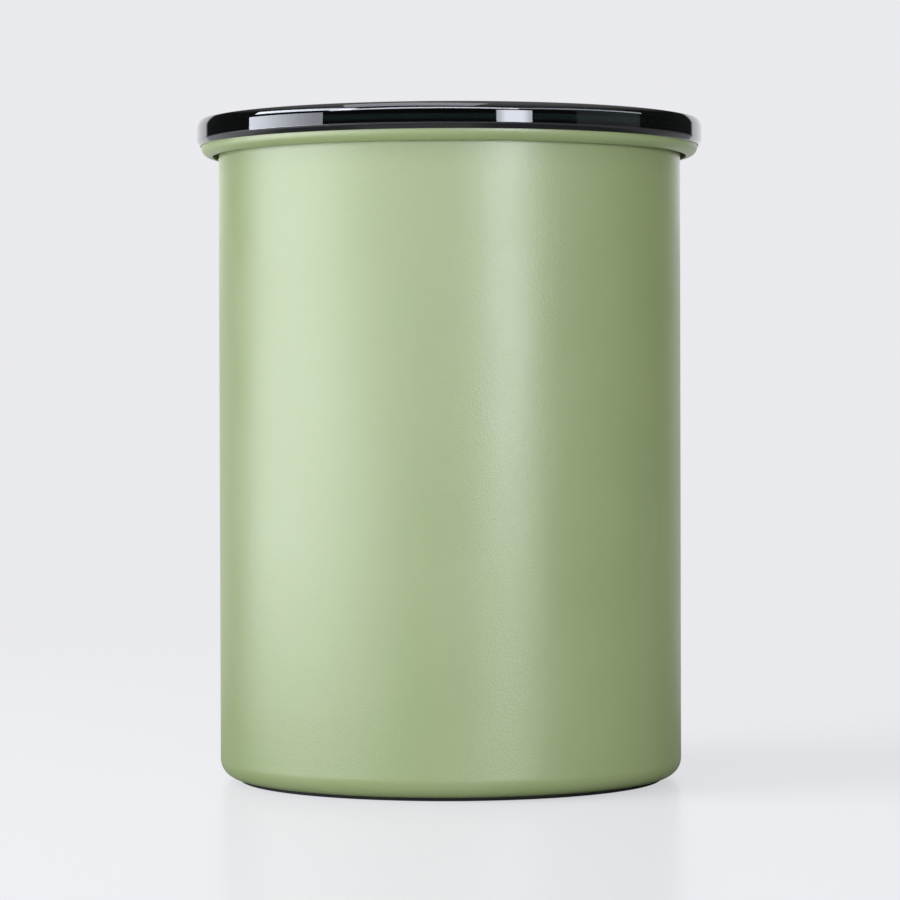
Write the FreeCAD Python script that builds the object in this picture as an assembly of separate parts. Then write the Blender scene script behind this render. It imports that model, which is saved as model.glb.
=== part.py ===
import FreeCAD, Part
import math
import os

from FreeCAD import Vector

# A coffee canister: a steel can with a rolled rim, a press-on outer lid, and a push-down inner lid
# whose folding handle opens an air valve.
# Millimetres, +Z up, origin at the middle of the base ring's underside, handle folded towards -Y.

# Can
can_diameter = 125.0
can_wall = 0.7
rim_top = 173.9  # height of the rolled rim above the table
rim_radius = 2.7  # outside radius of the roll
rim_end_angle = -98.0  # degrees about the roll's centre where its edge stops, 0 outwards, 90 up
base_bend = 5.0  # outside radius between wall and base
panel_to_ring = 3.0  # flat between the base ring and the raised middle of the base
panel_rise = 1.2
panel_bend = 2.0  # mid-sheet radius of the two bends round that panel

# Base ring
base_ring_height = 0.9
base_ring_width = 8.0
base_ring_inset = 0.2  # from the start of the base bend
base_ring_round = 0.3

# Outer lid
lid_overhang = 1.2  # lid beyond the rim, at its side
lid_lip_gap = 0.2  # rim to the inside of the lip
lid_lip_lift = 0.1  # end of the lip above the middle of the rim
lid_lip_flat = 0.25  # flat end of the lip
lid_lip_edge = 0.3  # round between that flat and the slope
lid_lip_slope = 1.3  # how far the lip rises from its flat end to the outside
lid_lip_round = 1.5
lid_rise = 4.3  # top of the lid above the rim
lid_seat_gap = 0.1
lid_shoulder_drop = 1.32  # below the top, where the lid's side turns inwards
lid_shoulder_inset = 0.76  # how far it has turned inwards at the top
lid_shoulder_round = 4.1
lid_top_round = 0.65
lid_border = 9.4  # width of the raised border
lid_border_round = 1.0
lid_recess = 1.6  # middle panel below the border
lid_panel = 2.2
lid_inside_round = 0.9

# Plug of the outer lid and its gasket
plug_depth = 9.4  # below the rim's top
plug_wall = 2.0
plug_gap = 1.1  # plug to can
plug_round = 0.5
gasket_groove = 1.0
gasket_height = 3.4
gasket_from_end = 1.9  # plug's end to the groove
gasket_bead = 1.0  # height of the bead that meets the can
gasket_round = 0.3
seal_gap = 0.2  # a seal's lip to the can

# Inner lid: pan, under plate and wiper seal
plate_gap = 3.4  # plates to can
under_thickness = 2.2
pan_floor = 2.4
pan_wall = 2.2
pan_depth = 9.0
pan_flange = 2.2
pan_round = 0.8
pan_inside_round = 1.6
seal_width = 2.8
seal_cover = 0.8  # the plates reach past the seal's body by this
seal_lips = 2
seal_lip_root = 1.6
seal_lip_tip = 0.8
seal_lip_rise = 1.7
seal_lip_round = 0.3
snug_gap = 0.04  # between two seated round faces
handle_headroom = 3.6  # raised handle to the closed outer lid

# Handle, its hinge and its cam
ear_to_pan = 8.0  # ear to the pan's wall
ear_thickness = 4.0
ear_head = 4.6  # radius round the pin
ear_foot = 16.0
ear_play = 0.4  # ear to handle
pin_radius = 1.5
pin_gap = 0.05
pin_grip = 6.0  # pin's length inside the handle
pin_recess = 0.3  # pin's end below the ear's face
bar_width = 8.5
bar_thickness = 7.0
bar_round_share = 0.37  # of the bar's thickness
handle_bend = 19.0  # mid-bar radius at the corners
handle_to_pan = 10.6  # folded handle's tip to the pan's wall
knuckle_radius = 4.1
cross_bar_radius = 3.2
cam_width = 9.0
cam_gap = 0.1
cam_points = 9
rest_length = 14.0
rest_width = 4.0
rest_gap = 0.2
rest_round = 1.2

# Plate screws
screw_count = 4
screw_first_angle = 45.0
screw_to_pan = 9.6  # screw's axis to the pan's wall
screw_radius = 1.25
screw_head = 2.4
screw_head_depth = 1.2
screw_grip = 6.2  # shank above the under plate
screw_sink = 0.1
screw_slot = 0.6
screw_gap = 0.1  # shank to the under plate
boss_wall = 2.0
boss_cap = 1.2  # boss above the screw's end

# Valve housing, its nut, sealing ring and grille
valve_bore = 11.0  # radius
housing_wall = 2.0
flange_edge = 1.0  # flange beyond the sealing ring
housing_flange_thickness = 1.6
housing_gap = 0.2  # housing to the plates' holes
housing_round = 0.5
guide_height = 1.5
guide_wall = 1.1
vent_count = 8
vent_radius = 1.2
vent_cover = 1.0  # washer beyond the vents
ring_width = 1.3
ring_height = 0.8
ring_from_hole = 0.9
nut_width = 3.6
nut_thickness = 2.2
nut_notch_count = 6
nut_notch = 2.0
grille_thickness = 1.2
grille_hole = 1.0
grille_pitch = 3.6
grille_ring_count = 2  # rings of holes round the middle one
grille_first_count = 6  # holes, and as many more in each next ring

# Poppet, washer, spring, button and its screw
valve_travel = 2.0
poppet_clearance = 0.4  # open poppet to the grille
poppet_side_gap = 1.4  # poppet to the housing's bore
poppet_thickness = 1.4
poppet_round = 0.4
stem_radius = 2.0
stem_gap = 0.05
washer_inset = 0.4  # washer's edge inside the poppet's
washer_thickness = 1.4
washer_gap = 0.05  # shut washer to its seat
spring_height = 4.6
spring_play = 0.75  # spring to the stem's guide
spring_wire = 0.6
spring_turns = 2.5
spring_end_gap = 0.05
arcs_per_turn = 8
button_radius = 7.5
button_thickness = 3.0
button_round = 0.9
button_socket = 1.2
button_screw_head = 1.7
button_screw_head_height = 0.9
button_screw_sink = 0.2
button_screw_radius = 0.8
button_screw_length = 4.5
button_screw_slot = 0.5
button_screw_gap = 0.1

cut_overrun = 1.0
least_edge = 1e-6

# Can and outer lid, worked out
can_radius = can_diameter / 2
can_bore = can_radius - can_wall
base_flat = can_radius - base_bend
base_ring_outside = base_flat - base_ring_inset
base_ring_inside = base_ring_outside - base_ring_width
rim_circle = can_bore + rim_radius
rim_middle = rim_top - rim_radius
rim_outside = rim_circle + rim_radius
lid_radius = rim_outside + lid_overhang
lid_top = rim_top + lid_rise
lid_panel_top = lid_top - lid_recess
lid_panel_under = lid_panel_top - lid_panel
plug_radius = can_bore - plug_gap
plug_end = rim_top - plug_depth
groove_bottom = plug_end + gasket_from_end

# Inner lid, worked out from the under plate's underside
plate_radius = can_bore - plate_gap
floor_top = under_thickness + pan_floor
pan_top = floor_top + pan_depth
seal_outside = plate_radius - seal_cover
pan_outside = seal_outside - seal_width
pan_inside = pan_outside - pan_wall
ear_outside = pan_inside - ear_to_pan
ear_inside = ear_outside - ear_thickness
handle_half = ear_inside - ear_play
handle_reach = pan_inside - handle_to_pan
housing_radius = valve_bore + housing_wall
housing_hole = housing_radius + housing_gap
ring_start = housing_hole + ring_from_hole
ring_end = ring_start + ring_width
flange_radius = ring_end + flange_edge
web_top = floor_top + housing_flange_thickness
poppet_bottom = grille_thickness - nut_thickness + poppet_clearance + valve_travel
poppet_top = poppet_bottom + poppet_thickness
washer_top = poppet_top + washer_thickness
seat_height = washer_top + washer_gap
poppet_radius = valve_bore - poppet_side_gap
washer_radius = poppet_radius - washer_inset
vent_circle = washer_radius - vent_cover - vent_radius
stem_hole = stem_radius + stem_gap
guide_radius = stem_hole + guide_wall
spring_radius = guide_radius + spring_play + spring_wire / 2
button_bottom = web_top + spring_height
button_top = button_bottom + button_thickness
socket_top = button_bottom + button_socket
hinge_height = button_top + cam_gap + cross_bar_radius
screw_circle = pan_inside - screw_to_pan
screw_top = under_thickness + screw_grip
inner_lid_height = lid_panel_under - handle_headroom - handle_reach - hinge_height


def section_point(radius, height):
    """A point of a turned piece's cross-section."""
    return Vector(radius, 0, height)


def plan_point(x, y):
    """A point of an outline seen from above."""
    return Vector(x, y, 0)


def side_point(y, z):
    """A point of an outline seen along X."""
    return Vector(0, y, z)


def corner_arc(before, here, after, radius):
    """Start, middle and end of the arc of this radius that rounds the corner at here."""
    back = (before - here).normalize()
    ahead = (after - here).normalize()
    half = back.getAngle(ahead) / 2
    setback = radius / math.tan(half)
    inwards = (back + ahead).normalize()
    middle = here + inwards * (radius / math.sin(half) - radius)
    return here + back * setback, middle, here + ahead * setback


def rounded_wire(corners, place, closed=True):
    """A wire through corners (u, v) or (u, v, radius), with a tangent arc where a radius is given."""
    points = [place(corner[0], corner[1]) for corner in corners]
    stops = []
    for index, corner in enumerate(corners):
        here = points[index]
        if len(corner) == 2:
            stops.append((here, None, here))
        else:
            following = points[(index + 1) % len(points)]
            stops.append(corner_arc(points[index - 1], here, following, corner[2]))
    edges = []
    for index, (start, middle, end) in enumerate(stops):
        if middle:
            edges.append(Part.Arc(start, middle, end).toShape())
        if closed or index + 1 < len(stops):
            following = stops[(index + 1) % len(stops)][0]
            if end.distanceToPoint(following) > least_edge:
                edges.append(Part.LineSegment(end, following).toShape())
    return Part.Wire(edges)


def turned(corners):
    """A solid of revolution about Z from its cross-section's corners."""
    face = Part.Face(rounded_wire(corners, section_point))
    return face.revolve(Vector(0, 0, 0), Vector(0, 0, 1), 360)


def rod(radius, bottom, top, x=0, y=0):
    """An upright cylinder."""
    return Part.makeCylinder(radius, top - bottom, Vector(x, y, bottom))


def cross_rod(radius, start, end):
    """A cylinder along X on the hinge's axis."""
    return Part.makeCylinder(radius, end - start, Vector(start, 0, hinge_height), Vector(1, 0, 0))


def on_circle(radius, count, first_angle=0):
    """Evenly spaced places (x, y) on a circle round the axis."""
    angles = [math.radians(first_angle + 360 * step / count) for step in range(count)]
    return [(radius * math.cos(angle), radius * math.sin(angle)) for angle in angles]


def in_place(shape):
    """A piece of the inner lid, raised from its own frame to where the lid rests."""
    return shape.translated(Vector(0, 0, inner_lid_height))


def sheet_skin(depth):
    """Edges of one skin of the can's sheet, from the axis to the rim's edge; depth is 0 on the outside."""
    middle = depth - can_wall / 2
    bend_angle = math.acos(1 - panel_rise / (2 * panel_bend))
    low = base_ring_height + depth
    high = low + panel_rise
    inner_bend = panel_bend + middle
    outer_bend = panel_bend - middle
    outer_end = base_ring_inside - panel_to_ring
    inner_start = outer_end - 2 * panel_bend * math.sin(bend_angle)

    def arc(x, z, radius, angles):
        spots = [(x + radius * math.cos(a), z + radius * math.sin(a)) for a in angles]
        return Part.Arc(*[section_point(*spot) for spot in spots]).toShape()

    def line(start, end):
        return Part.LineSegment(section_point(*start), section_point(*end)).toShape()

    right = math.pi / 2
    down_angles = (right, right - bend_angle / 2, right - bend_angle)
    up_angles = (-right - bend_angle, -right - bend_angle / 2, -right)
    roll = rim_radius - can_wall + depth
    roll_end = math.radians(rim_end_angle)
    return [
        line((0, high), (inner_start, high)),
        arc(inner_start, high - inner_bend, inner_bend, down_angles),
        arc(outer_end, low + outer_bend, outer_bend, up_angles),
        line((outer_end, low), (base_flat, low)),
        arc(base_flat, base_ring_height + base_bend, base_bend - depth, (-right, -right / 2, 0)),
        line((can_radius - depth, base_ring_height + base_bend), (can_radius - depth, rim_middle)),
        arc(rim_circle, rim_middle, roll, (math.pi, (math.pi + roll_end) / 2, roll_end)),
    ]


def make_canister_shell():
    """The can: one sheet turned about Z, with a raised base panel and an open outward roll at its rim."""
    outside = sheet_skin(0)
    inside = sheet_skin(can_wall)
    start = [skin[0].firstVertex().Point for skin in (outside, inside)]
    end = [skin[-1].lastVertex().Point for skin in (outside, inside)]
    closing = [Part.LineSegment(*start).toShape(), Part.LineSegment(*end).toShape()]
    face = Part.Face(Part.Wire(Part.__sortEdges__(outside + inside + closing)))
    return face.revolve(Vector(0, 0, 0), Vector(0, 0, 1), 360)


def make_base_ring():
    """The ring that the can stands on, under the flat of its base."""
    return turned([
        (base_ring_inside, 0, base_ring_round),
        (base_ring_outside, 0, base_ring_round),
        (base_ring_outside, base_ring_height),
        (base_ring_inside, base_ring_height),
    ])


def make_outer_lid():
    """The press-on lid: recessed panel, raised border, lip over the rim and a plug with a gasket groove."""
    groove_radius = plug_radius - gasket_groove
    groove_top = groove_bottom + gasket_height
    roof = rim_top + lid_seat_gap
    lip_inside = rim_outside + lid_lip_gap
    lip_end = rim_middle + lid_lip_lift
    recess_radius = lid_radius - lid_border
    return turned([
        (0, lid_panel_under),
        (plug_radius - plug_wall, lid_panel_under, lid_inside_round),
        (plug_radius - plug_wall, plug_end, plug_round),
        (plug_radius, plug_end, plug_round),
        (plug_radius, groove_bottom),
        (groove_radius, groove_bottom),
        (groove_radius, groove_top),
        (plug_radius, groove_top),
        (plug_radius, roof, lid_inside_round),
        (lip_inside, roof, lid_inside_round),
        (lip_inside, lip_end),
        (lip_inside + lid_lip_flat, lip_end, lid_lip_edge),
        (lid_radius, lip_end + lid_lip_slope, lid_lip_round),
        (lid_radius, lid_top - lid_shoulder_drop, lid_shoulder_round),
        (lid_radius - lid_shoulder_inset, lid_top, lid_top_round),
        (recess_radius, lid_top, lid_border_round),
        (recess_radius, lid_panel_top, lid_border_round / 2),
        (0, lid_panel_top),
    ])


def make_lid_gasket():
    """The ring in the plug's groove, with a bead towards the can."""
    inside = plug_radius - gasket_groove + snug_gap
    bottom = groove_bottom + snug_gap
    top = groove_bottom + gasket_height - snug_gap
    middle = (bottom + top) / 2
    bead = can_bore - seal_gap
    return turned([
        (inside, bottom),
        (plug_radius, bottom),
        (bead, middle - gasket_bead / 2, gasket_round),
        (bead, middle + gasket_bead / 2, gasket_round),
        (plug_radius, top),
        (inside, top),
    ])


def hinge_ear(side):
    """One of the two ears that carry the handle, side -1 or 1, with its pin hole."""
    outline = rounded_wire([
        (-ear_foot / 2, floor_top - pan_floor / 2),
        (ear_foot / 2, floor_top - pan_floor / 2),
        (ear_head, hinge_height + ear_head, ear_head),
        (-ear_head, hinge_height + ear_head, ear_head),
    ], side_point)
    start = ear_inside if side > 0 else -ear_outside
    ear = Part.Face(outline).extrude(Vector(ear_thickness, 0, 0)).translated(Vector(start, 0, 0))
    hole = cross_rod(pin_radius + pin_gap, start - cut_overrun, start + ear_thickness + cut_overrun)
    return ear.cut(hole)


def handle_rest():
    """The block on the pan's floor that the folded handle lies on."""
    middle = handle_reach - bar_width / 2
    outline = rounded_wire([
        (-rest_length / 2, -middle - rest_width / 2, rest_round),
        (rest_length / 2, -middle - rest_width / 2, rest_round),
        (rest_length / 2, -middle + rest_width / 2, rest_round),
        (-rest_length / 2, -middle + rest_width / 2, rest_round),
    ], plan_point)
    bottom = floor_top - pan_floor / 2
    top = hinge_height - bar_thickness / 2 - rest_gap
    block = Part.Face(outline).extrude(Vector(0, 0, top - bottom))
    return block.translated(Vector(0, 0, bottom))


def make_pressure_pan():
    """The inner lid's upper plate: a flanged pan with hinge ears, screw bosses and a handle rest."""
    pan = turned([
        (housing_hole, under_thickness),
        (pan_outside, under_thickness),
        (pan_outside, pan_top - pan_flange),
        (plate_radius, pan_top - pan_flange),
        (plate_radius, pan_top, pan_round),
        (pan_inside, pan_top, pan_round),
        (pan_inside, floor_top, pan_inside_round),
        (housing_hole, floor_top),
    ])
    places = on_circle(screw_circle, screw_count, screw_first_angle)
    boss_bottom = floor_top - pan_floor / 2
    bosses = [rod(screw_radius + boss_wall, boss_bottom, screw_top + boss_cap, *at) for at in places]
    pan = pan.fuse(bosses + [hinge_ear(-1), hinge_ear(1), handle_rest()])
    holes = [rod(screw_radius + snug_gap, 0, screw_top + snug_gap, *at) for at in places]
    return pan.cut(holes).removeSplitter()


def screw_cone(growth, bottom):
    """A countersunk head's shape, larger by growth, from bottom to the end of its taper."""
    wide = screw_head + growth
    narrow = screw_radius + growth
    return Part.makeCone(wide, narrow, screw_head_depth, Vector(0, 0, bottom))


def make_under_plate():
    """The inner lid's lower plate, with countersunk screw holes."""
    plate = turned([
        (housing_hole, 0),
        (plate_radius, 0, pan_round),
        (plate_radius, under_thickness),
        (housing_hole, under_thickness),
    ])
    clearance = screw_radius + screw_gap
    for x, y in on_circle(screw_circle, screw_count, screw_first_angle):
        mouth = rod(screw_head + snug_gap, -cut_overrun, screw_sink, x, y)
        cone = screw_cone(snug_gap, screw_sink).translated(Vector(x, y, 0))
        hole = rod(clearance, -cut_overrun, under_thickness + cut_overrun, x, y)
        plate = plate.cut([mouth, cone, hole])
    return plate


def make_plate_screws():
    """The countersunk screws through the under plate into the pan's bosses."""
    shank = rod(screw_radius, screw_sink + screw_head_depth, screw_top)
    depth = screw_head_depth / 2
    slot = Part.makeBox(2 * screw_head, screw_slot, depth, Vector(-screw_head, -screw_slot / 2, screw_sink))
    screw = screw_cone(0, screw_sink).fuse(shank).removeSplitter().cut(slot)
    places = on_circle(screw_circle, screw_count, screw_first_angle)
    return Part.makeCompound([screw.translated(Vector(x, y, 0)) for x, y in places])


def make_wiper_seal():
    """The seal round the pan, clamped between its flange and the under plate, with two upswept lips."""
    inside = pan_outside + snug_gap
    bottom = under_thickness
    top = pan_top - pan_flange
    tip = can_bore - seal_gap
    corners = [(inside, bottom), (seal_outside, bottom)]
    for step in range(seal_lips):
        root = bottom + (top - bottom) * (step + 1 / 2) / seal_lips - seal_lip_root / 2 - seal_lip_rise / 2
        corners += [
            (seal_outside, root),
            (tip, root + seal_lip_rise, seal_lip_round),
            (tip, root + seal_lip_rise + seal_lip_tip, seal_lip_round),
            (seal_outside, root + seal_lip_root),
        ]
    corners += [(seal_outside, top), (inside, top)]
    return turned(corners)


def make_valve_housing():
    """The valve's body: a flange on the pan, a bore, and a vented web with the stem's guide."""
    bottom = -nut_thickness
    body = turned([
        (stem_hole, seat_height),
        (valve_bore, seat_height),
        (valve_bore, bottom),
        (housing_radius, bottom),
        (housing_radius, floor_top),
        (ring_start, floor_top),
        (ring_start, floor_top + ring_height),
        (ring_end, floor_top + ring_height),
        (ring_end, floor_top),
        (flange_radius, floor_top),
        (flange_radius, web_top, housing_round),
        (guide_radius, web_top),
        (guide_radius, web_top + guide_height),
        (stem_hole, web_top + guide_height),
    ])
    places = on_circle(vent_circle, vent_count)
    vents = [rod(vent_radius, seat_height - cut_overrun, web_top + cut_overrun, *at) for at in places]
    return body.cut(vents)


def make_housing_ring():
    """The sealing ring in the groove under the housing's flange."""
    inside = ring_start + snug_gap
    outside = ring_end - snug_gap
    top = floor_top + ring_height - snug_gap
    return turned([(inside, floor_top), (outside, floor_top), (outside, top), (inside, top)])


def make_housing_nut():
    """The ring nut under the plates, with spanner notches in its edge."""
    outside = housing_radius + nut_width
    nut = turned([
        (housing_radius + snug_gap, -nut_thickness),
        (outside, -nut_thickness, housing_round),
        (outside, 0),
        (housing_radius + snug_gap, 0),
    ])
    notches = [rod(nut_notch / 2, -nut_thickness - cut_overrun, cut_overrun, x, y)
               for x, y in on_circle(outside, nut_notch_count)]
    return nut.cut(notches)


def make_valve_grille():
    """The pierced disc in the mouth of the housing."""
    bottom = -nut_thickness
    top = bottom + grille_thickness
    places = [(0, 0)]
    for ring in range(1, grille_ring_count + 1):
        places += on_circle(ring * grille_pitch, ring * grille_first_count)
    holes = [rod(grille_hole, bottom - cut_overrun, top + cut_overrun, *at) for at in places]
    return rod(valve_bore - snug_gap, bottom, top).cut(holes)


def make_valve_poppet():
    """The poppet: a disc under the seat on a stem that ends inside the button."""
    stem_top = socket_top - snug_gap
    poppet = turned([
        (0, poppet_bottom),
        (poppet_radius, poppet_bottom, poppet_round),
        (poppet_radius, poppet_top),
        (stem_radius, poppet_top),
        (stem_radius, stem_top),
        (0, stem_top),
    ])
    hole_bottom = button_top - button_screw_sink - button_screw_head_height - button_screw_length
    return poppet.cut(rod(button_screw_radius + snug_gap, hole_bottom - snug_gap, stem_top + cut_overrun))


def make_valve_washer():
    """The soft washer on the poppet, which covers the vents when the valve is shut."""
    return turned([
        (stem_radius + snug_gap, poppet_top),
        (washer_radius, poppet_top),
        (washer_radius, washer_top, poppet_round),
        (stem_radius + snug_gap, washer_top),
    ])


def spring_points():
    """Corners of a climbing polygon round the stem; the spring's arcs touch its legs at their middles."""
    rise = spring_height - spring_wire - 2 * spring_end_gap
    count = round(spring_turns * arcs_per_turn)
    corner_radius = spring_radius / math.cos(math.pi / arcs_per_turn)
    low = web_top + spring_end_gap + spring_wire / 2
    points = []
    for step in range(count + 2):
        angle = 2 * math.pi * (step - 1 / 2) / arcs_per_turn
        height = low + rise * (step - 1 / 2) / count
        points.append(Vector(corner_radius * math.cos(angle), corner_radius * math.sin(angle), height))
    return points


def make_valve_spring():
    """The coil spring between the housing's web and the button, one wire on tangent arcs."""
    points = spring_points()
    middles = [(a + b) / 2 for a, b in zip(points, points[1:])]
    edges = []
    for start, here, end in zip(middles, points[1:], middles[1:]):
        half = (start - here).getAngle(end - here) / 2
        radius = start.distanceToPoint(here) * math.tan(half)
        edges.append(Part.Arc(*corner_arc(start, here, end, radius)).toShape())
    loop = Part.Wire(Part.makeCircle(spring_wire / 2, middles[0], points[1] - points[0]))
    sweep = Part.BRepOffsetAPI.MakePipeShell(Part.Wire(edges))
    sweep.add(loop)
    sweep.build()
    sweep.makeSolid()
    half_turn = arcs_per_turn // 2
    gaps = [a.distanceToPoint(b) for i, a in enumerate(middles) for b in middles[i + half_turn:]]
    print(f"valve_spring least gap between turns {min(gaps) - spring_wire:.2f} mm")
    return sweep.shape()


def make_valve_button():
    """The cap on the stem, with a socket for the stem below and a sunk seat for its screw above."""
    head = button_screw_head + button_screw_gap
    head_seat = button_top - button_screw_sink - button_screw_head_height
    socket = stem_radius + snug_gap
    shank = button_screw_radius + button_screw_gap
    return turned([
        (socket, button_bottom),
        (button_radius, button_bottom, poppet_round),
        (button_radius, button_top, button_round),
        (head, button_top),
        (head, head_seat),
        (shank, head_seat),
        (shank, socket_top),
        (socket, socket_top),
    ])


def make_button_screw():
    """The screw that holds the button on the stem."""
    seat = button_top - button_screw_sink - button_screw_head_height
    top = button_top - button_screw_sink
    screw = turned([
        (0, seat - button_screw_length),
        (button_screw_radius, seat - button_screw_length),
        (button_screw_radius, seat),
        (button_screw_head, seat),
        (button_screw_head, top, button_screw_head_height / 3),
        (0, top),
    ])
    length = 2 * button_screw_head + cut_overrun
    depth = button_screw_head_height / 2
    corner = Vector(-length / 2, -button_screw_slot / 2, top - depth)
    return screw.cut(Part.makeBox(length, button_screw_slot, depth + cut_overrun, corner))


def cam_lobe():
    """The cam: its edge is the involute that presses a flat button by the same amount for each degree."""
    rate = valve_travel / (math.pi / 2)
    low = Vector(0, 0, hinge_height - cross_bar_radius)
    high = Vector(0, 0, hinge_height + cross_bar_radius)
    edge = []
    for step in range(cam_points):
        turn = math.pi / 2 * step / (cam_points - 1)
        reach = cross_bar_radius + rate * turn
        y = reach * math.sin(turn) + rate * math.cos(turn)
        z = rate * math.sin(turn) - reach * math.cos(turn)
        edge.append(Vector(0, y, hinge_height + z))
    curve = Part.BSplineCurve()
    curve.interpolate(edge)
    outline = Part.Wire([
        Part.LineSegment(low, edge[0]).toShape(),
        curve.toShape(),
        Part.LineSegment(edge[-1], high).toShape(),
        Part.LineSegment(high, low).toShape(),
    ])
    lobe = Part.Face(outline).extrude(Vector(cam_width, 0, 0))
    return lobe.translated(Vector(-cam_width / 2, 0, 0))


def make_lid_handle():
    """The folding handle: a bent bar, a knuckle at each end, and a cross bar with the cam at its middle."""
    half = handle_half - bar_width / 2
    far = handle_reach - bar_width / 2
    bar_round = bar_round_share * bar_thickness
    route = rounded_wire([
        (half, 0),
        (half, -far, handle_bend),
        (-half, -far, handle_bend),
        (-half, 0),
    ], plan_point, closed=False).translated(Vector(0, 0, hinge_height))
    section = rounded_wire([
        (half - bar_width / 2, hinge_height - bar_thickness / 2, bar_round),
        (half + bar_width / 2, hinge_height - bar_thickness / 2, bar_round),
        (half + bar_width / 2, hinge_height + bar_thickness / 2, bar_round),
        (half - bar_width / 2, hinge_height + bar_thickness / 2, bar_round),
    ], section_point)
    bar = route.makePipeShell([section], True, False)
    right = cross_rod(knuckle_radius, handle_half - bar_width, handle_half)
    left = cross_rod(knuckle_radius, -handle_half, bar_width - handle_half)
    middle = cross_rod(cross_bar_radius, bar_width / 2 - handle_half, handle_half - bar_width / 2)
    handle = bar.fuse([right, left, middle, cam_lobe()])
    inner_end = handle_half - pin_grip
    holes = [cross_rod(pin_radius + snug_gap, inner_end, handle_half + cut_overrun),
             cross_rod(pin_radius + snug_gap, -handle_half - cut_overrun, -inner_end)]
    return handle.cut(holes)


def make_hinge_pins():
    """The two pins held in the handle that turn in the ears."""
    inner_end = handle_half - pin_grip
    outer_end = ear_outside - pin_recess
    return Part.makeCompound([
        cross_rod(pin_radius, inner_end, outer_end),
        cross_rod(pin_radius, -outer_end, -inner_end),
    ])


pieces = {
    "canister_shell": make_canister_shell(),
    "base_ring": make_base_ring(),
    "outer_lid": make_outer_lid(),
    "lid_gasket": make_lid_gasket(),
    "pressure_pan": in_place(make_pressure_pan()),
    "under_plate": in_place(make_under_plate()),
    "wiper_seal": in_place(make_wiper_seal()),
    "plate_screws": in_place(make_plate_screws()),
    "valve_housing": in_place(make_valve_housing()),
    "housing_ring": in_place(make_housing_ring()),
    "housing_nut": in_place(make_housing_nut()),
    "valve_grille": in_place(make_valve_grille()),
    "valve_poppet": in_place(make_valve_poppet()),
    "valve_washer": in_place(make_valve_washer()),
    "valve_spring": in_place(make_valve_spring()),
    "valve_button": in_place(make_valve_button()),
    "button_screw": in_place(make_button_screw()),
    "lid_handle": in_place(make_lid_handle()),
    "hinge_pins": in_place(make_hinge_pins()),
}

os.makedirs("parts", exist_ok=True)
for name, piece in pieces.items():
    piece.exportStep(f"parts/{name}.step")
    print(f"{name}: {len(piece.Solids)} solid(s), {piece.Volume:.1f} mm3, valid {piece.isValid()}")
hinge_at_rest = inner_lid_height + hinge_height
print(f"inner lid's underside rests at {inner_lid_height:.2f} mm, hinge at {hinge_at_rest:.2f} mm")
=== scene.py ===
# %% [markdown]
# # A coffee canister with a valve
# A painted steel can with a rolled rim stands on a pale studio floor under a smoke-tinted lid.
# Inside it a second lid is pushed down onto the coffee, and its folding handle opens an air valve.
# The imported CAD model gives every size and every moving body, so this lesson only dresses it:
# camera and light first, then the finishes, then the surfaces that need more than the solids give.

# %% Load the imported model
import math

import bpy
import numpy as np
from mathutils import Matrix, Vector


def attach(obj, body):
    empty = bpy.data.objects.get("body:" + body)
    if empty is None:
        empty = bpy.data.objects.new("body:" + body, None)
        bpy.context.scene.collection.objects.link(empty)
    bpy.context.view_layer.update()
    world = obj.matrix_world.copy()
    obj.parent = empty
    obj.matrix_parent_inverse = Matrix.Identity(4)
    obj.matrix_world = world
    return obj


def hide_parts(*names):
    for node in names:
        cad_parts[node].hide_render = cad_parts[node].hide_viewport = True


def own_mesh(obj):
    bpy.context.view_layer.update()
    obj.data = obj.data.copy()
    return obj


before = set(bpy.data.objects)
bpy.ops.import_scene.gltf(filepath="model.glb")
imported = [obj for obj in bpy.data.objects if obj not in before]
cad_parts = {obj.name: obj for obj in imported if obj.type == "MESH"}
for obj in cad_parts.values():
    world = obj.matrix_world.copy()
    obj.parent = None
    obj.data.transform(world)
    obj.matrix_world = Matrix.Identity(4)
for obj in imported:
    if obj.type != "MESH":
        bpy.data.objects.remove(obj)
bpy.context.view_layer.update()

MM = 0.001

# %% [markdown]
# ## Camera
# The can's sides run parallel in the photograph and its foot and lid open into flat ellipses, so a
# long lens looked at it from a little under a metre, level with the middle of the can.
# How much the two ellipses open tells the distance and the height; the can's width tells the lens.
# A shifted lens would do the same, but a slight downward aim keeps the other views centred. The foot's
# left side sits a little lower than its right one, so the camera was also rolled by a sixth of a degree.

# %% Place the camera
CAMERA_DISTANCE = 0.9562
CAMERA_HEIGHT = 0.1019
CAMERA_LENS = 140.72
CAMERA_AIM_DOWN = math.radians(0.764)
CAMERA_ROLL = math.radians(0.156)

scene = bpy.context.scene
camera = bpy.data.objects.new("camera", bpy.data.cameras.new("camera"))
camera.data.lens = CAMERA_LENS
camera.location = (0, -CAMERA_DISTANCE, CAMERA_HEIGHT)
camera.rotation_euler = (math.pi / 2 - CAMERA_AIM_DOWN, CAMERA_ROLL, 0)
scene.collection.objects.link(camera)
scene.camera = camera
scene.view_settings.view_transform = "Standard"
print("camera at", tuple(camera.location), "lens", CAMERA_LENS)

# %% [markdown]
# ## Nodes in one line each
# Every finish below is a small tree of shader nodes. Adding, setting and linking them takes three
# calls per node, so one helper does it: an input that is another node's output is linked, and any
# other value is set on the socket. Three more helpers give a node's output straight away. A Mix node
# has sockets of several kinds under the same names, so its colours are reached by their numbers.

# %% Node helpers
COLOUR_A, COLOUR_B, COLOUR_OUT = 6, 7, 2


def node(tree, kind, inputs=None, **settings):
    """One node of this kind, with its settings, and its inputs linked or set."""
    made = tree.nodes.new("ShaderNode" + kind)
    for name, value in settings.items():
        setattr(made, name, value)
    for name, value in (inputs or {}).items():
        if isinstance(value, bpy.types.NodeSocket):
            tree.links.new(value, made.inputs[name])
        else:
            made.inputs[name].default_value = value
    return made


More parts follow.
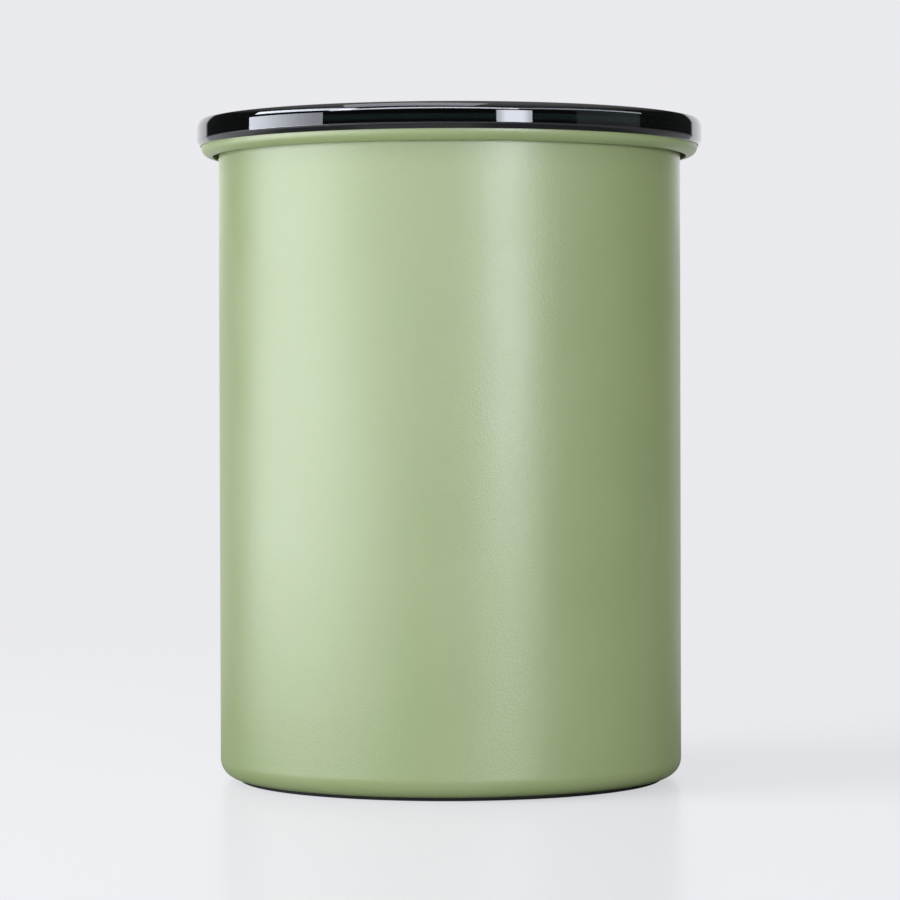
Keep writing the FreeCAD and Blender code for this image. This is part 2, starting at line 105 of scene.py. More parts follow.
def smooth_range(tree, value, start, end, low, high):
    """The value carried from start..end to low..high along a smooth step."""
    made = node(tree, "MapRange", {"Value": value, "From Min": start, "From Max": end,
                                   "To Min": low, "To Max": high}, interpolation_type="SMOOTHSTEP")
    return made.outputs["Result"]


def maths(tree, operation, first, second):
    """The result of this operation on two values."""
    return node(tree, "Math", {0: first, 1: second}, operation=operation).outputs[0]


def mixed(tree, share, first, second):
    """The first colour where the share is 0, the second where it is 1."""
    made = node(tree, "Mix", {"Factor": share, COLOUR_A: first, COLOUR_B: second}, data_type="RGBA")
    return made.outputs[COLOUR_OUT]

# %% [markdown]
# ## Studio
# The room is pale behind the canister and above it, and dark round the camera, which is why the glossy
# lid looks almost black from the front but has pale ends. So the camera sees the pale tone all round.
# Mirrored and refracted rays see it where they head for the back of the room, a greyer ceiling above,
# and a dim room elsewhere. The room also fills in an even light from all sides, as white walls do.

# %% World
PALE = (0.82, 0.825, 0.85, 1)
FILL = (0.35, 0.354, 0.364, 1)
CEILING = (0.62, 0.62, 0.635, 1)
DIM = (0.022, 0.022, 0.023, 1)
BACK_START, BACK_END = 0.785, 0.825
CEILING_START, CEILING_END = 0.42, 0.85


def bent_rays(tree):
    """1 for mirrored and refracted rays, 0 for all others."""
    path = node(tree, "LightPath").outputs
    return maths(tree, "MAXIMUM", path["Is Glossy Ray"], path["Is Transmission Ray"])


def pale_share(tree, heading):
    """1 where a ray sees the pale room: all camera rays, and mirrored or refracted ones to the back."""
    back = node(tree, "SeparateXYZ", {"Vector": heading}).outputs["Y"]
    back = smooth_range(tree, back, BACK_START, BACK_END, 0, 1)
    bent = maths(tree, "MULTIPLY", bent_rays(tree), back)
    return maths(tree, "MAXIMUM", bent, node(tree, "LightPath").outputs["Is Camera Ray"])


world = bpy.data.worlds.new("studio")
scene.world = world
world.use_nodes = True
sky = world.node_tree
sky.nodes.clear()
heading = node(sky, "TexCoord").outputs["Generated"]
up = node(sky, "SeparateXYZ", {"Vector": heading}).outputs["Z"]
above = smooth_range(sky, up, CEILING_START, CEILING_END, 0, 1)
room = mixed(sky, bent_rays(sky), FILL, mixed(sky, above, DIM, CEILING))
tone = mixed(sky, pale_share(sky, heading), room, PALE)
background = node(sky, "Background", {"Color": tone, "Strength": 1.0})
node(sky, "OutputWorld", {"Surface": background.outputs[0]})
print("world:", PALE[:3], "at the back, fill", FILL[:3])

# %% [markdown]
# ## Softboxes
# The glossy lid is a map of the studio. On a round piece a point turned by an angle from the camera
# mirrors the room at twice that angle, so each lamp's bearing follows from where its reflection sits:
# a broad patch to the left, a small bright one to the right of the camera, a pale card further right,
# and three thin strips that draw the bright lines in the lid's rounding. The paint has boxes at much
# the same bearings, bars in front, a low lamp for the wall's foot and a soft one behind.
# A last lamp, far out to the left, throws the can's long shadow over the floor; the floor's gloss
# doesn't see it, because it would show as a burnt-out spot from the other side.
#
# A lamp is set by its bearing, its elevation, its distance, the angles it fills and its brightness; a
# flat lamp gives out pi times its area times its brightness, so its power is worked out from those.
# Cloth in front of a real box is darker towards its ends, so a lamp may fade there.

# %% Lamp helpers
AIM = Vector((0, 0, 0.09))
COOL = (0.95, 0.985, 1.09)


def softbox(name, bearing, elevation, distance, width, height, brightness):
    """A rectangular lamp facing the can. Angles in degrees; bearing 0 is at the camera."""
    lamp = bpy.data.lights.new(name, "AREA")
    lamp.shape = "RECTANGLE"
    lamp.size = 2 * distance * math.tan(math.radians(width) / 2)
    lamp.size_y = 2 * distance * math.tan(math.radians(height) / 2)
    lamp.energy = brightness * math.pi * lamp.size * lamp.size_y
    lamp.color = COOL
    holder = bpy.data.objects.new(name, lamp)
    turn, lift = math.radians(bearing), math.radians(elevation)
    away = Vector((math.sin(turn) * math.cos(lift), -math.cos(turn) * math.cos(lift), math.sin(lift)))
    holder.location = AIM + distance * away
    holder.rotation_euler = away.to_track_quat("Z", "Y").to_euler()
    holder.visible_camera = False
    scene.collection.objects.link(holder)
    print(f"{name}: {lamp.size:.2f} by {lamp.size_y:.2f} m, brightness {brightness}, {lamp.energy:.1f} W")
    return holder


def fade_ends(lamp, left, right, length):
    """Dim a lamp from full to left and right at its ends, each over this share of its width."""
    lamp.use_nodes = True
    tree = lamp.node_tree
    across = node(tree, "NewGeometry").outputs["Parametric"]
    across = node(tree, "SeparateXYZ", {"Vector": across}).outputs["X"]
    ends = maths(tree, "MULTIPLY", smooth_range(tree, across, 0, length, left, 1),
                 smooth_range(tree, across, 1 - length, 1, 1, right))
    tree.links.new(ends, tree.nodes["Emission"].inputs["Strength"])

# %% Lamps
LAMPS = {  # bearing, elevation, distance in metres, width, height, brightness
    "left_box": (-80, 9, 1.0, 58, 22, 3.15),
    "left_low": (-70, -7.6, 0.45, 84, 8, 3.2),
    "right_box": (28.2, 5.5, 1.25, 15.7, 19, 8.8),
    "front_bar": (-12, 6, 1.4, 80, 14, 2.05),
    "right_bar": (55, 14, 1.4, 50, 12, 0.7),
    "front_top": (-20, 50, 1.3, 50, 20, 1.8),
    "right_card": (74.5, 8, 1.0, 35, 18, 0.12),
    "left_strip": (-71, 29, 1.0, 50, 10, 7.0),
    "front_strip": (-12, 25, 1.4, 80, 8, 5.5),
    "right_strip": (62, 25, 1.4, 66, 6, 2.2),
    "rear_soft": (180, 25, 1.2, 60, 40, 1.4),
    "left_patch": (-77.5, 4, 1.0, 42, 18, 4.8),
    "right_patch": (28.2, 5.5, 1.25, 15.7, 12, 7.3),
    "floor_key": (-73.4, 12, 2.0, 42, 18, 38.0),
}
lamps = {name: softbox(name, *settings) for name, settings in LAMPS.items()}
lamps["floor_key"].visible_glossy = False
fade_ends(lamps["left_patch"].data, left=1.0, right=0.42, length=0.9)
fade_ends(lamps["right_patch"].data, left=0.55, right=0.55, length=0.3)

# %% [markdown]
# ## Floor
# A pale sweep: near the canister it takes the shadow and a faint, blurred reflection, and further out
# it fades into the tone behind it, as a paper sweep does where it curves up. The fade is by distance
# from the canister, so it works from every side. Even close to the can most of the floor's tone is a
# glow that only looking rays see, which keeps the shadow as faint as in the photograph.
# The floor's own lamp would make it throw too much light back at the can, so other rays see a darker
# paper, and mirrored ones a nearly black ring close to the can: the lid's lower edge mirrors that ring
# and is dark in the photograph. Seen from below the floor lets the view through.

# %% Make the floor
FLOOR_SIZE = 8.0

reach = np.array([[-1, -1, 0], [1, -1, 0], [1, 1, 0], [-1, 1, 0]]) * FLOOR_SIZE
floor_mesh = bpy.data.meshes.new("floor")
floor_mesh.from_pydata(reach.tolist(), [], [(0, 1, 2, 3)])
floor = bpy.data.objects.new("floor", floor_mesh)
scene.collection.objects.link(floor)
print("floor reaches", FLOOR_SIZE, "metres each way")

# %% Floor finish
FLOOR_TONE = (0.90, 0.90, 0.90, 1)
BOUNCED_TONE = (0.39, 0.39, 0.39, 1)
MIRRORED_TONE = (0.087, 0.087, 0.087, 1)
DARK_START, DARK_END = 0.24, 0.36
FADE_START, FADE_END = 0.22, 0.62
NEAR_GLOW, NEAR_LIGHT = 0.78, 1.045
PAPER_ROUGHNESS, PAPER_SPECULAR = 0.3, 0.08
FLOOR_GLOSS, GLOSS_ROUGHNESS = 0.14, 0.22


def new_finish(name, **sockets):
    """A new material, its node tree and its shader, with these constants on the shader's sockets."""
    material = bpy.data.materials.new(name)
    material.use_nodes = True
    tree = material.node_tree
    shader = tree.nodes["Principled BSDF"]
    for label, value in sockets.items():
        shader.inputs[label.replace("_", " ")].default_value = value
    return material, tree, shader


sweep, tree, paper = new_finish("paper_sweep", Roughness=PAPER_ROUGHNESS, Specular_IOR_Level=PAPER_SPECULAR)
place = node(tree, "TexCoord").outputs["Object"]
away = node(tree, "VectorMath", {0: place}, operation="LENGTH").outputs["Value"]
heading = node(tree, "VectorMath", {0: place}, operation="NORMALIZE").outputs["Vector"]
path = node(tree, "LightPath").outputs
tone = mixed(tree, path["Is Camera Ray"], BOUNCED_TONE, FLOOR_TONE)
ring = maths(tree, "MULTIPLY", smooth_range(tree, away, DARK_START, DARK_END, 1, 0), path["Is Glossy Ray"])
tree.links.new(mixed(tree, ring, tone, MIRRORED_TONE), paper.inputs["Base Color"])
fade = maths(tree, "MULTIPLY", smooth_range(tree, away, FADE_START, FADE_END, NEAR_GLOW, 1),
             pale_share(tree, heading))
strength = smooth_range(tree, away, FADE_START, FADE_END, NEAR_LIGHT, 1)
glow = node(tree, "Emission", {"Color": PALE, "Strength": strength})
upper = node(tree, "MixShader", {0: fade, 1: paper.outputs[0], 2: glow.outputs[0]})
gloss = node(tree, "BsdfGlossy", {"Roughness": GLOSS_ROUGHNESS})
near = smooth_range(tree, away, FADE_START, FADE_END, FLOOR_GLOSS, 0)
upper = node(tree, "MixShader", {0: near, 1: upper.outputs[0], 2: gloss.outputs[0]})
below = node(tree, "NewGeometry").outputs["Backfacing"]
clear = node(tree, "BsdfTransparent")
both = node(tree, "MixShader", {0: below, 1: upper.outputs[0], 2: clear.outputs[0]})
tree.links.new(both.outputs[0], tree.nodes["Material Output"].inputs["Surface"])
floor_mesh.materials.append(sweep)
print("floor fades from", FADE_START, "to", FADE_END, "metres")

# %% [markdown]
# ## Effects that several finishes share
# Powder coat, moulded plastic, rubber and silicone all have a fine skin that breaks up their gloss,
# and all drift a little in tone. Both are node groups, built once and placed in each finish with its
# own scale. A third group draws the fine parallel lines of brushed steel: noise that changes slowly
# round the canister and quickly up or across it. Noise seldom leaves the middle of its range, so that
# middle is stretched to run from 0 to 1.

# %% Group helpers
NOISE_LOW, NOISE_HIGH = 0.3, 0.7


def new_group(name, inputs, outputs):
    """An empty shader group with these sockets; returns its tree, its inputs and its outputs."""
    group = bpy.data.node_groups.new(name, "ShaderNodeTree")
    for label, kind in inputs:
        group.interface.new_socket(label, in_out="INPUT", socket_type="NodeSocket" + kind)
    for label, kind in outputs:
        group.interface.new_socket(label, in_out="OUTPUT", socket_type="NodeSocket" + kind)
    entry = group.nodes.new("NodeGroupInput").outputs
    leave = group.nodes.new("NodeGroupOutput").inputs
    return group, entry, leave


def stretched(tree, noise):
    """Noise carried from the middle of its range to 0..1."""
    return smooth_range(tree, noise, NOISE_LOW, NOISE_HIGH, 0, 1)

# %% Skin and drift
skin, entry, leave = new_group(
    "fine_skin", [("Place", "Vector"), ("Scale", "Float")], [("Height", "Float"), ("Speck", "Float")])
pebbles = node(skin, "TexNoise", {"Vector": entry["Place"], "Scale": entry["Scale"],
                                  "Detail": 3.0, "Roughness": 0.55}).outputs["Fac"]
skin.links.new(pebbles, leave["Height"])
skin.links.new(stretched(skin, pebbles), leave["Speck"])

drift, entry, leave = new_group(
    "tone_drift", [("Place", "Vector"), ("Scale", "Float"), ("Tone A", "Color"), ("Tone B", "Color"),
                   ("Low", "Float"), ("High", "Float")], [("Tone", "Color"), ("Value", "Float")])
clouds = node(drift, "TexNoise", {"Vector": entry["Place"], "Scale": entry["Scale"],
                                  "Detail": 4.0, "Roughness": 0.6}).outputs["Fac"]
amount = stretched(drift, clouds)
drift.links.new(mixed(drift, amount, entry["Tone A"], entry["Tone B"]), leave["Tone"])
values = node(drift, "MapRange", {"Value": amount, "To Min": entry["Low"], "To Max": entry["High"]})
drift.links.new(values.outputs["Result"], leave["Value"])
print("groups:", skin.name, drift.name)

# %% Brush lines
brushing, entry, leave = new_group(
    "brush_lines", [("Place", "Vector"), ("Along", "Float"), ("Across", "Float")],
    [("Height", "Float"), ("Streak", "Float")])
parts = node(brushing, "SeparateXYZ", {"Vector": entry["Place"]}).outputs
flat = node(brushing, "CombineXYZ", {"X": parts["X"], "Y": parts["Y"]}).outputs[0]
radius = node(brushing, "VectorMath", {0: flat}, operation="LENGTH").outputs["Value"]
climb = maths(brushing, "ADD", radius, parts["Z"])
around = node(brushing, "VectorMath", {0: flat, "Scale": entry["Along"]}, operation="SCALE").outputs[0]
lift = node(brushing, "CombineXYZ", {"Z": maths(brushing, "MULTIPLY", climb, entry["Across"])}).outputs[0]
grid = node(brushing, "VectorMath", {0: around, 1: lift}, operation="ADD").outputs[0]
lines = node(brushing, "TexNoise", {"Vector": grid, "Scale": 1.0, "Detail": 4.0,
                                    "Roughness": 0.65}).outputs["Fac"]
brushing.links.new(lines, leave["Height"])
brushing.links.new(stretched(brushing, lines), leave["Streak"])
print("groups:", brushing.name)

# %% [markdown]
# ## Finishes with a fine skin
# The sage powder coat is a satin paint: its highlights are soft and slightly grainy, and whiter than
# the paint because they are reflections. Black moulded plastic, the rubber foot and the silicone
# seals are made the same way with their own tone, scale and gloss, so one function makes all four.

# %% Skinned finishes
def skinned(name, tone_a, tone_b, gloss, grain, relief, drift_scale, **sockets):
    """A finish that drifts between two tones and two roughnesses under a fine skin of that relief."""
    material, tree, shader = new_finish(name, **sockets)
    place = node(tree, "TexCoord").outputs["Object"]
    tones = node(tree, "Group", {"Place": place, "Scale": drift_scale, "Tone A": (*tone_a, 1),
                                 "Tone B": (*tone_b, 1), "Low": gloss[0], "High": gloss[1]}, node_tree=drift)
    fine = node(tree, "Group", {"Place": place, "Scale": grain}, node_tree=skin)
    bump = node(tree, "Bump", {"Height": fine.outputs["Height"], "Strength": 1.0, "Distance": relief})
    tree.links.new(tones.outputs["Tone"], shader.inputs["Base Color"])
    tree.links.new(tones.outputs["Value"], shader.inputs["Roughness"])
    tree.links.new(bump.outputs["Normal"], shader.inputs["Normal"])
    return material


sage_coat = skinned("sage_powder_coat", tone_a=(0.318, 0.396, 0.160), tone_b=(0.333, 0.409, 0.170),
                    gloss=(0.35, 0.40), grain=2600, relief=0.05 * MM, drift_scale=30,
                    IOR=1.6, Specular_IOR_Level=1.0)
black_plastic = skinned("black_moulded_plastic", tone_a=(0.018, 0.019, 0.020), tone_b=(0.026, 0.027, 0.028),
                        gloss=(0.42, 0.52), grain=2200, relief=0.03 * MM, drift_scale=60)
foot_rubber = skinned("foot_rubber", tone_a=(0.006, 0.006, 0.006), tone_b=(0.012, 0.012, 0.012),
                      gloss=(0.7, 0.85), grain=1800, relief=0.04 * MM, drift_scale=90)
silicone = skinned("frosted_silicone", tone_a=(0.47, 0.49, 0.48), tone_b=(0.55, 0.57, 0.56),
                   gloss=(0.38, 0.5), grain=900, relief=0.02 * MM, drift_scale=120)
print("skinned finishes:", sage_coat.name, black_plastic.name, foot_rubber.name, silicone.name)

# %% [markdown]
# ## Steel
# The can's inside, the screws, pins, spring and grille are stainless steel. Inside the can the lines
# run round it, as they do after spinning and polishing; on the small pieces they are much finer. A
# deep can swallows light, so its satin finish is a little less of a mirror than polished steel.

# %% Steel finishes
STEEL_DARK, STEEL_PALE = (0.70, 0.70, 0.69, 1), (0.80, 0.80, 0.78, 1)
STEEL_DRIFT = 40.0


def brushed(name, along, across, relief, gloss, metal):
    """Brushed steel: streaks that change roughness and tone, over shallow lines."""
    material, tree, shader = new_finish(name, Metallic=metal)
    place = node(tree, "TexCoord").outputs["Object"]
    lines = node(tree, "Group", {"Place": place, "Along": along, "Across": across}, node_tree=brushing)
    tones = node(tree, "Group", {"Place": place, "Scale": STEEL_DRIFT, "Tone A": STEEL_DARK,
                                 "Tone B": STEEL_PALE, "Low": 0.0, "High": 1.0}, node_tree=drift)
    rough = node(tree, "MapRange", {"Value": lines.outputs["Streak"], "To Min": gloss[0],
                                    "To Max": gloss[1]})
    bump = node(tree, "Bump", {"Height": lines.outputs["Height"], "Strength": 1.0, "Distance": relief})
    tree.links.new(tones.outputs["Tone"], shader.inputs["Base Color"])
    tree.links.new(rough.outputs["Result"], shader.inputs["Roughness"])
    tree.links.new(bump.outputs["Normal"], shader.inputs["Normal"])
    return material


can_steel = brushed("brushed_can_steel", along=25.0, across=3500.0, relief=0.006 * MM,
                    gloss=(0.40, 0.55), metal=0.85)
small_steel = brushed("bright_small_steel", along=300.0, across=9000.0, relief=0.002 * MM,
                      gloss=(0.16, 0.26), metal=1.0)
print("steel finishes:", can_steel.name, small_steel.name)

# %% [markdown]
# ## Smoke plastic
# The lid is clear plastic with a deep smoke tint, moulded to a mirror finish. Light that goes through
# it loses nearly everything, so it reads as black with a hint of the green rim behind it. A clear
# shader with a very dark tint does that, a clear coat gives the polished skin its mirror, and its
# gloss drifts only by fingerprints' worth.

# %% Smoke finish
SMOKE_DARK, SMOKE_PALE = (0.005, 0.010, 0.010, 1), (0.007, 0.014, 0.014, 1)
SMOKE_DRIFT = 25.0
SMOKE_POLISH, SMOKE_PRINTS = 0.015, 0.04

smoke, tree, shader = new_finish("smoke_plastic", IOR=1.58, Transmission_Weight=1.0, Coat_Weight=1.0,
                                 Coat_IOR=1.6, Coat_Roughness=0.02)
place = node(tree, "TexCoord").outputs["Object"]
tones = node(tree, "Group", {"Place": place, "Scale": SMOKE_DRIFT, "Tone A": SMOKE_DARK, "Tone B": SMOKE_PALE,
                             "Low": SMOKE_POLISH, "High": SMOKE_PRINTS}, node_tree=drift)
tree.links.new(tones.outputs["Tone"], shader.inputs["Base Color"])
tree.links.new(tones.outputs["Value"], shader.inputs["Roughness"])
print("smoke finish:", smoke.name)

# %% [markdown]
# ## Turned surfaces
# The can and the lid are round, so each is one profile turned about the canister's axis: a point at
# radius r and height z goes to (r cos a, r sin a, z) for every angle a. The profile is worked out
# with its corners rounded by true arcs, because a gloss finish shows every facet of the solids.

# %% Profile helpers
SAME_PLACE = 1e-6


def arc(centre, radius, first, last, steps):
    """Points at centre + radius times (cos, sin) of angles spread evenly from first to last degrees."""
    angles = np.radians(np.linspace(first, last, steps))
    return np.array(centre) + radius * np.stack([np.cos(angles), np.sin(angles)], axis=1)


def rounded(corners, steps=12):
    """An open profile through (radius, height, rounding) corners, in millimetres.

    A corner's arc touches both of its sides at rounding / tan(half its angle) from the corner. Its
    points are the arc's middle plus the rounding times a direction that turns evenly from the one
    touching point to the other. Points that fall on the one before are left out.
    """
    corners = np.array(corners, float)
    spot, size = corners[1:-1, :2], corners[1:-1, 2:]
    back = corners[:-2, :2] - spot
    ahead = corners[2:, :2] - spot
    back /= np.linalg.norm(back, axis=1, keepdims=True)
    ahead /= np.linalg.norm(ahead, axis=1, keepdims=True)
    half = np.arccos(np.clip((back * ahead).sum(1, keepdims=True), -1, 1)) / 2
    inward = (back + ahead) / np.linalg.norm(back + ahead, axis=1, keepdims=True)
    middle = spot + inward * size / np.sin(half)
    first = spot + back * size / np.tan(half) - middle
    last = spot + ahead * size / np.tan(half) - middle
    sweep = np.pi - 2 * half
    ahead_by = np.linspace(0, 1, steps)[:, None] * sweep[:, None]
    left_over = sweep[:, None] - ahead_by
    turn = np.sin(left_over) * first[:, None] + np.sin(ahead_by) * last[:, None]
    points = middle[:, None] + turn / np.sin(sweep[:, None])
    points = np.concatenate([corners[:1, :2], points.reshape(-1, 2), corners[-1:, :2]])
    apart = np.linalg.norm(np.diff(points, axis=0), axis=1) > SAME_PLACE
    return points[np.concatenate([[True], apart])]

# %% Surface helpers
TURNS = 360


def ring_faces(rings, around):
    """Faces of a stack of rings: quads between neighbours, and triangles to a pole at each end."""
    step = np.arange(around)
    after = (step + 1) % around
    row = np.arange(rings - 1)[:, None] * around
    quads = np.stack([row + step, row + after, row + around + after, row + around + step], axis=2)
    last, pole = (rings - 1) * around, np.full(around, rings * around)
    first = np.stack([pole, after, step], axis=1)
    final = np.stack([last + step, last + after, pole + 1], axis=1)
    return first.tolist() + quads.reshape(-1, 4).tolist() + final.tolist()


def turned(profile):
    """Vertices and faces of a profile turned about Z: (r cos a, r sin a, z) for every angle a.

    The profile's ends lie on the axis and become poles; its other points become rings.
    """
    angles = np.linspace(0, 2 * np.pi, TURNS, endpoint=False)
    radius, height = profile[1:-1, :1], profile[1:-1, 1:]
    rings = np.stack([radius * np.cos(angles), radius * np.sin(angles), height + 0 * angles], axis=2)
    ends = np.array([[0, 0, profile[0, 1]], [0, 0, profile[-1, 1]]])
    vertices = np.concatenate([rings.reshape(-1, 3), ends]) * MM
    return vertices, ring_faces(len(radius), TURNS)


print("a turned piece has", TURNS, "steps round the axis")

# %% Piece helper
SHARP_ANGLE = math.radians(40)


def add_piece(name, vertices, faces, materials, body, nodes, slot):
    """A smooth mesh piece with these materials that rides on a body and stands for CAD nodes."""
    mesh = bpy.data.meshes.new(name)
    mesh.from_pydata(vertices.tolist(), [], faces)
    mesh.polygons.foreach_set("use_smooth", np.ones(len(mesh.polygons), bool))
    mesh.set_sharp_from_angle(angle=SHARP_ANGLE)
    for material in materials:
        mesh.materials.append(material)
    piece = bpy.data.objects.new(name, mesh)
    scene.collection.objects.link(piece)
    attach(piece, body)
    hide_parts(*nodes)
    size = vertices.max(0) - vertices.min(0)
    print(f"{name}: {len(faces)} faces, {np.round(size / MM, 2)} mm")
    return piece

# %% [markdown]
# ## The can
# One sheet of steel, 0.7 mm thick: a base with a slightly raised panel, a tight bend, a straight
# wall, and a rim rolled outwards so that no edge is left to cut a finger. Walking along the outside
# skin and back along the inside skin gives one closed profile. The paint covers the outside and the
# whole roll; from there down the inside is bare steel.

# %% Make the can
WALL = 0.7
CAN_RADIUS = 62.5
BASE_HEIGHT = 0.9
BASE_BEND = 5.0
PANEL_RADIUS, PANEL_RISE, PANEL_BEND = 46.3, 1.2, 2.0
RIM_RADIUS, RIM_TOP, RIM_END = 2.7, 173.9, -98
PANEL_STEPS, BASE_STEPS, ROLL_STEPS = 8, 20, 48


def sheet(depth):
    """One skin of the sheet, from the axis to the rim's edge; depth is 0 on the painted side."""
    bend = np.degrees(np.arccos(1 - PANEL_RISE / (2 * PANEL_BEND)))
    offset = depth - WALL / 2
    low = BASE_HEIGHT + depth
    start = PANEL_RADIUS - 2 * PANEL_BEND * np.sin(np.radians(bend))
    inner, outer = PANEL_BEND + offset, PANEL_BEND - offset
    roll = (CAN_RADIUS - WALL + RIM_RADIUS, RIM_TOP - RIM_RADIUS)
    return np.concatenate([
        [[0, low + PANEL_RISE]],
        arc((start, low + PANEL_RISE - inner), inner, 90, 90 - bend, PANEL_STEPS),
        arc((PANEL_RADIUS, low + outer), outer, 270 - bend, 270, PANEL_STEPS),
        arc((CAN_RADIUS - BASE_BEND, BASE_HEIGHT + BASE_BEND), BASE_BEND - depth, -90, 0, BASE_STEPS),
        arc(roll, RIM_RADIUS - WALL + depth, 180, RIM_END, ROLL_STEPS),
    ])


outside, inside = sheet(0), sheet(WALL)
can_profile = np.concatenate([outside, inside[::-1]])
can = add_piece("painted_can", *turned(can_profile), [sage_coat, can_steel], "canister",
                ["canister_shell"], "sage_paint")
bare_from = len(outside) + ROLL_STEPS - 1
bare = np.arange(len(can_profile) - 1) >= bare_from
can.data.polygons.foreach_set("material_index", np.repeat(bare, TURNS).astype(np.int32))
print("bare steel on", int(bare.sum()), "of", len(bare), "bands")

# %% [markdown]
# ## The lid
# A flat panel inside a raised border, a lip that reaches down over the rim, and a plug that goes into
# the can, with a groove for its gasket. All of it is one moulding, so it is one profile again.

# %% Make the lid
LID_RADIUS, LID_TOP = 68.4, 178.2
PANEL_TOP, PANEL_UNDER = 176.6, 174.4
PLUG_RADIUS, PLUG_INSIDE, PLUG_END = 60.7, 58.7, 164.5
GROOVE_RADIUS, GROOVE_BOTTOM, GROOVE_TOP = 59.7, 166.4, 169.8
ROOF, LIP_INSIDE, LIP_END = 174.0, 67.4, 171.3
LIP_FLAT, LIP_EDGE, LIP_SLOPE, LIP_ROUND = 0.25, 0.3, 1.3, 1.5
SHOULDER_DROP, SHOULDER_INSET, SHOULDER_ROUND = 1.32, 0.76, 4.1
TOP_ROUND = 0.65
BORDER, BORDER_ROUND, RECESS_ROUND = 9.4, 1.0, 0.5
INNER_ROUND, PLUG_ROUND = 0.9, 0.5

lid_profile = rounded([
    (0, PANEL_UNDER, 0),
    (PLUG_INSIDE, PANEL_UNDER, INNER_ROUND),
    (PLUG_INSIDE, PLUG_END, PLUG_ROUND),
    (PLUG_RADIUS, PLUG_END, PLUG_ROUND),
    (PLUG_RADIUS, GROOVE_BOTTOM, 0),
    (GROOVE_RADIUS, GROOVE_BOTTOM, 0),
    (GROOVE_RADIUS, GROOVE_TOP, 0),
    (PLUG_RADIUS, GROOVE_TOP, 0),
    (PLUG_RADIUS, ROOF, INNER_ROUND),
    (LIP_INSIDE, ROOF, INNER_ROUND),
    (LIP_INSIDE, LIP_END, 0),
    (LIP_INSIDE + LIP_FLAT, LIP_END, LIP_EDGE),
    (LID_RADIUS, LIP_END + LIP_SLOPE, LIP_ROUND),
    (LID_RADIUS, LID_TOP - SHOULDER_DROP, SHOULDER_ROUND),
    (LID_RADIUS - SHOULDER_INSET, LID_TOP, TOP_ROUND),
    (LID_RADIUS - BORDER, LID_TOP, BORDER_ROUND),
    (LID_RADIUS - BORDER, PANEL_TOP, RECESS_ROUND),
    (0, PANEL_TOP, 0),
])
lid = add_piece("smoke_lid", *turned(lid_profile), [smoke], "outer_lid",
                ["outer_lid"], "smoke_plastic")

# %% [markdown]
# ## The valve's spring
# A round steel wire wound two and a half times round the valve's stem pushes the button up and so
# holds the valve shut. The wire lies flat for half a turn at each end, which is how a spring is wound
# so that it stands square, and climbs between them. A circle carried along that path makes the wire,
# and each end is closed by a pole. It stands on the housing and rides with the inner lid.

# %% Make the spring
COIL_RADIUS, COIL_TURNS, WIRE_RADIUS = 4.2, 2.5, 0.3
COIL_LOW, COIL_HIGH = 118.25, 122.15
FLAT_TURNS = 0.5
COIL_STEPS, WIRE_STEPS = 240, 20


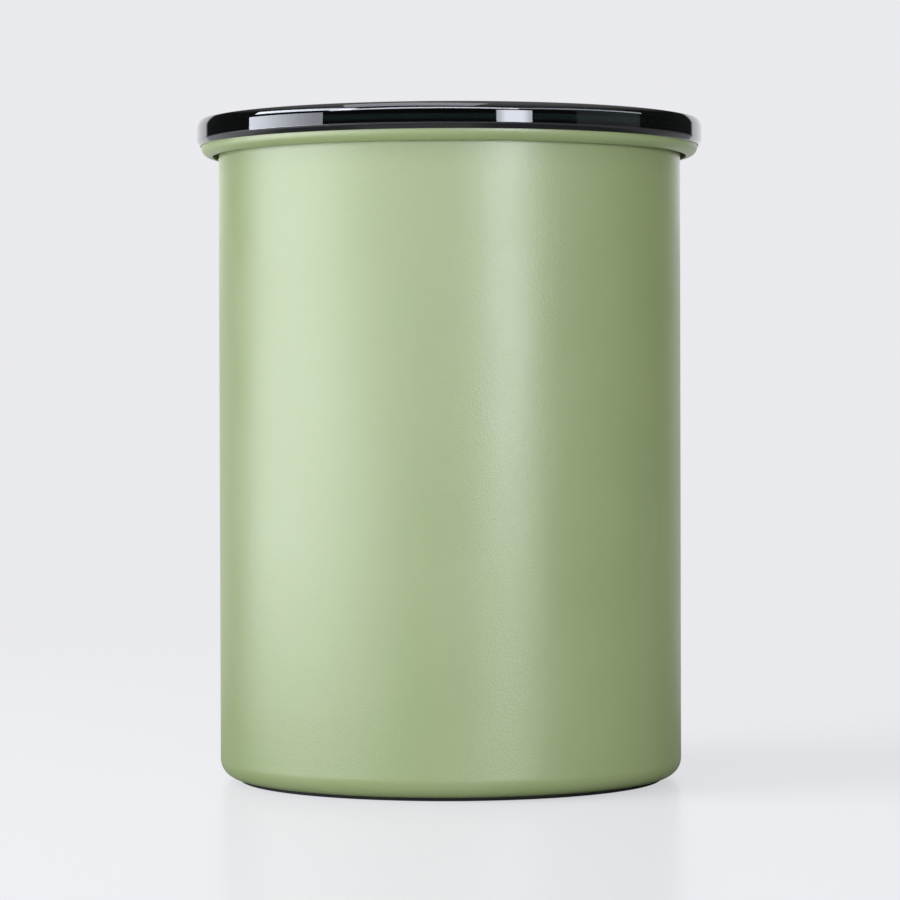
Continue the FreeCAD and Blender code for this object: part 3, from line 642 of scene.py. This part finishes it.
def coil():
    """Vertices and faces of the coiled wire.

    After t turns the wire's middle is at angle 2 pi t on the coil's radius. Its height follows a smooth
    step from low to high between the flat turns. A ring of points lies round each middle, on the
    outward direction and the one square to it and to the wire's heading.
    """
    turns = np.linspace(0, COIL_TURNS, COIL_STEPS)
    climb = np.clip((turns - FLAT_TURNS) / (COIL_TURNS - 2 * FLAT_TURNS), 0, 1)
    height = COIL_LOW + (COIL_HIGH - COIL_LOW) * climb ** 2 * (3 - 2 * climb)
    angle = 2 * np.pi * turns
    out = np.stack([np.cos(angle), np.sin(angle), 0 * angle], axis=1)
    middle = COIL_RADIUS * out + np.stack([0 * angle, 0 * angle, height], axis=1)
    heading = np.gradient(middle, axis=0)
    heading /= np.linalg.norm(heading, axis=1, keepdims=True)
    up = np.cross(heading, out)
    about = np.linspace(0, 2 * np.pi, WIRE_STEPS, endpoint=False)[:, None]
    rings = middle[:, None] + WIRE_RADIUS * (np.cos(about) * out[:, None] + np.sin(about) * up[:, None])
    vertices = np.concatenate([rings.reshape(-1, 3), middle[:1], middle[-1:]]) * MM
    return vertices, ring_faces(COIL_STEPS, WIRE_STEPS)


spring = add_piece("coil_spring", *coil(), [small_steel], "inner_lid", ["valve_spring"], "bright_steel")
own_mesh(spring)

# %% [markdown]
# ## Pieces that keep their CAD shape
# The inner lid's plates, its handle and the small valve pieces already have their real shape and a
# fine mesh, so they only get their finishes.

# %% Dress the CAD nodes
FINISHES = {
    black_plastic: ["pressure_pan", "under_plate", "valve_housing", "housing_nut", "valve_poppet",
                    "valve_button", "lid_handle"],
    silicone: ["lid_gasket", "wiper_seal", "housing_ring", "valve_washer"],
    small_steel: ["plate_screws", "valve_grille", "button_screw", "hinge_pins"],
    foot_rubber: ["base_ring"],
}
for finish, names in FINISHES.items():
    for name in names:
        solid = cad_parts[name]
        solid.data.materials.clear()
        solid.data.materials.append(finish)
    print(finish.name, "on", ", ".join(names))

# %% [markdown]
# ## Which lamp lights what
# A flat, glossy lid mirrors a whole softbox when it is seen from the far side, and turns white. In a
# studio a black flag hides the box from it; here light linking does that. The paint's lamps leave out
# the lid and the floor, the card only the floor, the patches and strips are for the lid alone and the
# shadow's lamp for the floor alone. The lamp high in front lights everything.

# %% Link the lamps
def share_light(label, pieces, state, names):
    """Let these lamps light only these pieces (INCLUDE), or everything but them (EXCLUDE)."""
    group = bpy.data.collections.new(label)
    for piece in pieces:
        group.objects.link(piece)
    for member in group.collection_objects:
        member.light_linking.link_state = state
    for name in names:
        lamps[name].light_linking.receiver_collection = group
    print(label, "for", ", ".join(names))


share_light("all_but_lid_and_floor", [lid, floor], "EXCLUDE",
            ["left_box", "left_low", "right_box", "front_bar", "right_bar", "rear_soft"])
share_light("all_but_floor", [floor], "EXCLUDE", ["right_card"])
share_light("floor_alone", [floor], "INCLUDE", ["floor_key"])
share_light("lid_alone", [lid], "INCLUDE",
            ["left_strip", "front_strip", "right_strip", "left_patch", "right_patch"])
